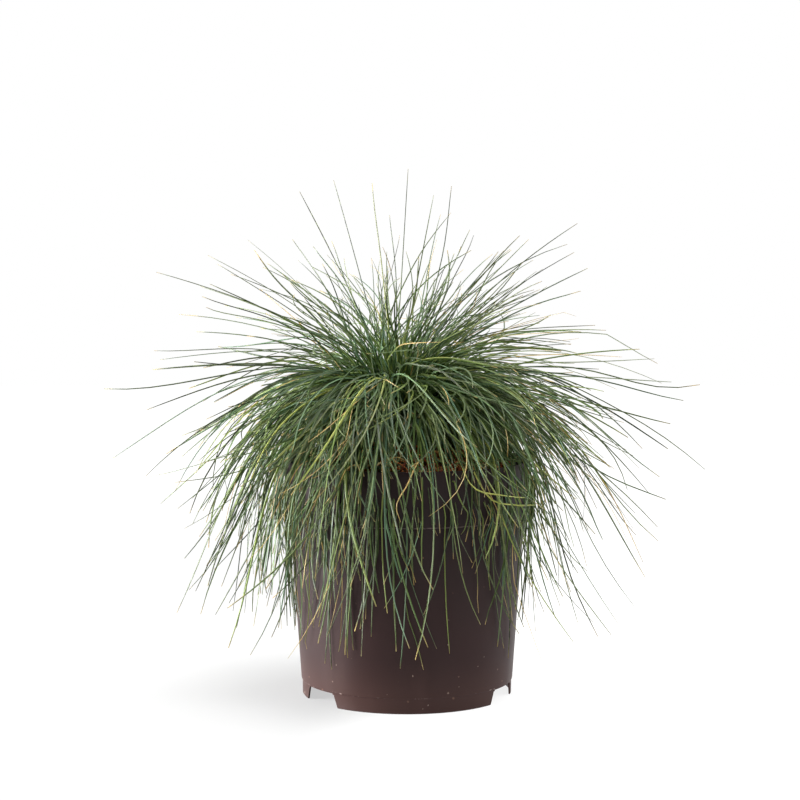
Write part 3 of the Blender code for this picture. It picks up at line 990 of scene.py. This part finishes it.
def pot_profile():
    """The pot's section as (radius, z) down its outer side, with its edges rounded."""
    band, band_z, plate_z = BAND_BOTTOM_RADIUS, BAND_BOTTOM_Z, PLATE_UNDERSIDE_Z
    top = band - BAND_STEP
    step_z = band_z + WALL
    inner_low = BASE_RADIUS - WALL
    inner_foot = FOOT_RADIUS - WALL
    lip = 0.0005
    return [
        (0.0, PLATE_TOP_Z),
        (inner_low - 0.002, PLATE_TOP_Z),
        (inner_low, PLATE_TOP_Z + 0.002),
        (top - WALL, step_z - 0.0010),
        (top - WALL + 0.0004, step_z),
        (band - WALL, step_z + BAND_STEP),
        (RIM_RADIUS - WALL, RIM_Z - lip),
        (RIM_RADIUS - WALL + 0.3 * lip, RIM_Z - 0.3 * lip),
        (RIM_RADIUS - WALL + lip, RIM_Z),
        (RIM_RADIUS - lip, RIM_Z),
        (RIM_RADIUS - 0.3 * lip, RIM_Z - 0.3 * lip),
        (RIM_RADIUS, RIM_Z - lip),
        (RIM_RADIUS - 0.0001, RIM_Z - 0.004),
        (band, band_z + 0.0006),
        (band - 0.0001, band_z + 0.0002),
        (band - 0.0004, band_z),
        (top + 0.0003, band_z - 0.0001),
        (top, band_z - 0.0004),
        (BASE_RADIUS + 0.0002, plate_z + 0.0012),
        (BASE_RADIUS, plate_z + 0.0002),
        (BASE_RADIUS - 0.0004, plate_z - 0.0001),
        (FOOT_RADIUS, plate_z - 0.0006),
        (FOOT_RADIUS - 0.0002, 0.0005),
        (FOOT_RADIUS - 0.0006, 0.0),
        (inner_foot + 0.0003, 0.0),
        (inner_foot, 0.0004),
        (inner_foot, plate_z - 0.001),
        (inner_foot - 0.001, plate_z),
        (0.0, plate_z),
    ]


def cutter(name, shape, place, turn=0.0):
    mesh = bpy.data.meshes.new(name)
    shape.to_mesh(mesh)
    shape.free()
    made = add_object(name, mesh)
    made.location = place
    made.rotation_euler.z = turn
    return made


def notch_cutter(i):
    """A block that is wider at the floor than at its top, with the top's corners rounded."""
    block = bmesh.new()
    bmesh.ops.create_cube(block, size=1.0)
    floor_half = FOOT_RADIUS * math.sin(NOTCH_BOTTOM_ARC / 2)
    top_half = FOOT_RADIUS * math.sin(NOTCH_TOP_ARC / 2)
    for vert in block.verts:
        high = vert.co.z > 0
        vert.co.x *= NOTCH_DEPTH
        vert.co.y *= 2 * (top_half if high else floor_half)
        vert.co.z = NOTCH_HEIGHT if high else -0.002
    corners = []
    for edge in block.edges:
        first, last = (vert.co for vert in edge.verts)
        level = first.z > 0 and abs(first.z - last.z) < 1e-6
        if level and abs(first.y - last.y) < 1e-6:
            corners.append(edge)
    bmesh.ops.bevel(block, geom=corners, offset=0.0012, segments=3, affect="EDGES")
    angle = -math.pi / 2 + FIRST_FOOT_ANGLE + (i + 0.5) * math.tau / FEET
    place = (FOOT_RADIUS * math.cos(angle), FOOT_RADIUS * math.sin(angle), 0.0)
    return cutter(f"notch_{i}", block, place, angle)


def drain_cutter(i):
    """Number 0 is the centre hole, and the others stand on a circle."""
    radius = DRAIN_HOLE_RADIUS if i else CENTRE_HOLE_RADIUS
    away = DRAIN_CIRCLE_RADIUS if i else 0.0
    angle = (i - 0.5) * math.tau / DRAIN_HOLES
    drill = bmesh.new()
    bmesh.ops.create_cone(
        drill, cap_ends=True, segments=32, radius1=radius, radius2=radius, depth=0.006
    )
    place = (away * math.cos(angle), away * math.sin(angle), PLATE_UNDERSIDE_Z + 0.001)
    return cutter(f"drain_{i}", drill, place)


def pot_cutters():
    notches = [notch_cutter(i) for i in range(FEET)]
    return notches + [drain_cutter(i) for i in range(DRAIN_HOLES + 1)]


def build_pot():
    profile = pot_profile()
    mesh = bpy.data.meshes.new("pot_shell")
    edges = [(i, i + 1) for i in range(len(profile) - 1)]
    mesh.from_pydata([(r, 0.0, z) for r, z in profile], edges, [])
    pot = add_object("pot_shell", mesh)
    turn = pot.modifiers.new("turn", "SCREW")
    turn.axis = "Z"
    turn.steps = turn.render_steps = 180
    turn.use_merge_vertices = True
    turn.merge_threshold = 0.00001
    tools = pot_cutters()
    for tool in tools:
        cut = pot.modifiers.new(tool.name, "BOOLEAN")
        cut.operation = "DIFFERENCE"
        cut.object = tool
        cut.solver = "EXACT"
    bpy.context.view_layer.update()
    graph = bpy.context.evaluated_depsgraph_get()
    final = bpy.data.meshes.new_from_object(pot.evaluated_get(graph))
    pot.modifiers.clear()
    pot.data = final
    final.name = "pot_shell"
    for tool in tools:
        bpy.data.objects.remove(tool)
    final.shade_smooth()
    final.set_sharp_from_angle(angle=math.radians(32))
    final.materials.clear()
    final.materials.append(pot_material())
    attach(pot, ROOT)
    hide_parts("pot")


# -------- camera, light and floor


def build_camera():
    data = bpy.data.cameras.new("camera")
    data.lens = LENS
    data.sensor_width = SENSOR_WIDTH
    camera = add_object("camera", data)
    camera.location = CAMERA_PLACE
    camera.rotation_euler = (math.radians(90) - CAMERA_DIP, 0.0, 0.0)
    bpy.context.scene.camera = camera


def build_light():
    for name, place, target, size, power, spread in SOFTBOXES:
        data = bpy.data.lights.new(name, "AREA")
        data.shape = "RECTANGLE"
        data.size, data.size_y = size
        data.energy = power
        data.spread = math.radians(spread)
        light = add_object(name, data)
        light.location = place
        light.rotation_euler = (Vector(target) - light.location).to_track_quat("-Z", "Y").to_euler()


def build_world():
    """White light from behind and from the left, with a dark room in front; seen as pure white."""
    world = bpy.data.worlds.new("studio")
    bpy.context.scene.world = world
    world.use_nodes = True
    nodes, links = world.node_tree.nodes, world.node_tree.links
    nodes.clear()
    coords = nodes.new("ShaderNodeTexCoord")
    toward = nodes.new("ShaderNodeVectorMath")
    toward.operation = "DOT_PRODUCT"
    toward.inputs[1].default_value = BRIGHT_SIDE
    links.new(coords.outputs["Generated"], toward.inputs[0])
    level = nodes.new("ShaderNodeMapRange")
    level.interpolation_type = "SMOOTHSTEP"
    for key, value in zip(("From Min", "From Max", "To Min", "To Max"), WORLD_LIGHT):
        level.inputs[key].default_value = value
    links.new(toward.outputs["Value"], level.inputs["Value"])
    lit = nodes.new("ShaderNodeBackground")
    links.new(level.outputs["Result"], lit.inputs["Strength"])
    seen = nodes.new("ShaderNodeBackground")
    for shade in (lit, seen):
        shade.inputs["Color"].default_value = (1.0, 1.0, 1.0, 1.0)
    path = nodes.new("ShaderNodeLightPath")
    mix = nodes.new("ShaderNodeMixShader")
    out = nodes.new("ShaderNodeOutputWorld")
    links.new(path.outputs["Is Camera Ray"], mix.inputs[0])
    links.new(lit.outputs[0], mix.inputs[1])
    links.new(seen.outputs[0], mix.inputs[2])
    links.new(mix.outputs[0], out.inputs["Surface"])


def build_floor():
    """White paper that glows more the further it is, so that it has no horizon."""
    bpy.ops.mesh.primitive_circle_add(vertices=96, radius=FLOOR_RADIUS, fill_type="NGON")
    floor = bpy.context.object
    floor.name = "floor"
    s = Shader("floor_white")
    place = s.place()
    away = s.node("ShaderNodeVectorMath", {0: place}, operation="LENGTH").outputs["Value"]
    side = s.node("ShaderNodeVectorMath", {0: place, 1: FLOOR_BRIGHT_SIDE}, operation="DOT_PRODUCT")
    near = s.spread(side.outputs["Value"], *FLOOR_NEAR_GLOW)
    glow = s.maths("MAXIMUM", near, s.spread(away, *FLOOR_GLOW))
    floor.data.materials.append(s.finish(
        Base_Color=(FLOOR_GREY, FLOOR_GREY, FLOOR_GREY, 1.0), Roughness=0.9, Specular_IOR_Level=0.0,
        Emission_Color=(1.0, 1.0, 1.0, 1.0), Emission_Strength=glow,
    ))


def main():
    bpy.context.scene.view_settings.view_transform = "Standard"
    build_camera()
    build_light()
    build_world()
    build_floor()
    build_pot()
    peat = substrate_material()
    root_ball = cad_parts["root_ball"]
    root_ball.data.materials.clear()
    root_ball.data.materials.append(peat)
    build_soil_crumbs(peat)
    build_litter()
    build_crown()
    leaf = leaf_material()
    build_tufts(leaf)
    build_crossing_blades(leaf)


main()
